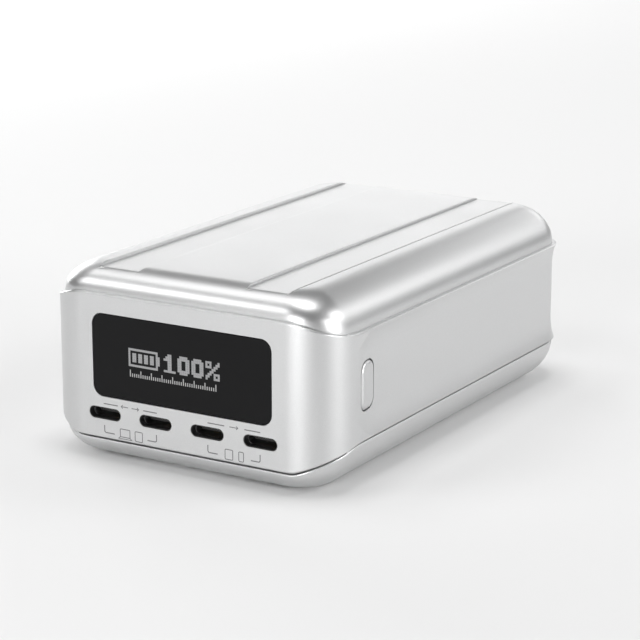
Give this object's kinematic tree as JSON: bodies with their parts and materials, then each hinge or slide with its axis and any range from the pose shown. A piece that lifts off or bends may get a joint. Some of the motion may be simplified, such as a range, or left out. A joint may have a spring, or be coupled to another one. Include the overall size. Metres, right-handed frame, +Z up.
{
  "type": "power bank",
  "caption": "Boxy rechargeable battery pack with a waisted band between two domed shells, a display window, a row of sockets and a side button.",
  "frame": {"origin": "centre of the underside's bounding rectangle, on the surface it stands on", "axes": "+Z up, front with the sockets and the display towards -Y, power button on the +X side"},
  "size_m": [0.08, 0.1269, 0.0467],
  "materials": {
    "casing_paint": "satin pearl silver lacquer",
    "button_paint": "satin pearl silver lacquer",
    "window_black": "smooth dark acrylic",
    "tape_black": "matte",
    "panel_glass": "dark display glass",
    "inner_plastic": "moulded matte",
    "flex_amber": "satin film",
    "board_green": "solder mask",
    "chip_black": "moulded matte",
    "screw_steel": "plated",
    "trim_black": "moulded satin black",
    "ferrite_grey": "matte pressed powder",
    "capacitor_can": "drawn can",
    "pad_blue": "soft matte",
    "heat_aluminium": "milled",
    "plunger_white": "moulded matte",
    "holder_black": "moulded matte",
    "nickel": "rolled strip",
    "fish_paper": "matte fibre sheet",
    "foam_grey": "closed cell foam",
    "lead_red": "silicone jacket",
    "lead_black": "silicone jacket",
    "socket_metal": "dark nickel plating",
    "tongue_black": "moulded",
    "cell_sleeve": "shrink sleeve over a can"
  },
  "bodies": {
    "case": {"top_shell": "casing_paint", "bottom_shell": "casing_paint", "mid_frame": "casing_paint", "display_window": "window_black", "window_tape": "tape_black", "display_panel": "panel_glass", "display_bracket": "inner_plastic", "display_ribbon": "flex_amber", "control_board": "board_green", "control_chips": "chip_black", "board_header": "inner_plastic", "display_screws": "screw_steel", "socket_trim": "trim_black", "main_board": "board_green", "board_screws": "screw_steel", "inductors": "ferrite_grey", "capacitors": "capacitor_can", "power_chips": "chip_black", "heat_pad": "pad_blue", "heat_spreader": "heat_aluminium", "switch_body": "inner_plastic", "button_board": "board_green", "cell_holder_left": "holder_black", "cell_holder_right": "holder_black", "nickel_strips_left": "nickel", "nickel_strips_right": "nickel", "insulation_left": "fish_paper", "insulation_right": "fish_paper", "foam_pad_top": "foam_grey", "foam_pad_bottom": "foam_grey", "pack_lead_positive": "lead_red", "pack_lead_negative": "lead_black", "balance_plug": "plunger_white", "balance_leads": "lead_black", "thermistor": "chip_black", "usb_c_shell_1": "socket_metal", "usb_c_shell_2": "socket_metal", "usb_c_shell_3": "socket_metal", "usb_c_shell_4": "socket_metal", "usb_c_tongue_1": "tongue_black", "usb_c_tongue_2": "tongue_black", "usb_c_tongue_3": "tongue_black", "usb_c_tongue_4": "tongue_black", "cell_1": "cell_sleeve", "cell_2": "cell_sleeve", "cell_3": "cell_sleeve", "cell_4": "cell_sleeve", "cell_5": "cell_sleeve", "cell_6": "cell_sleeve", "cell_7": "cell_sleeve", "cell_8": "cell_sleeve"},
    "button": {"power_button": "button_paint"},
    "plunger": {"switch_plunger": "plunger_white"}
  },
  "joints": [
    {"name": "button_press", "type": "slide", "parent": "case", "child": "button", "axis": [-1, 0, 0], "range_m": [0, 0.0003], "stiffness_N_per_m": 900, "springref_m": -0.0003},
    {"name": "plunger_press", "type": "slide", "parent": "case", "child": "plunger", "axis": [-1, 0, 0], "range_m": [0, 0.0003]}
  ],
  "couplings": [
    {"joint": "plunger_press", "follows": "button_press", "ratio": 1}
  ]
}
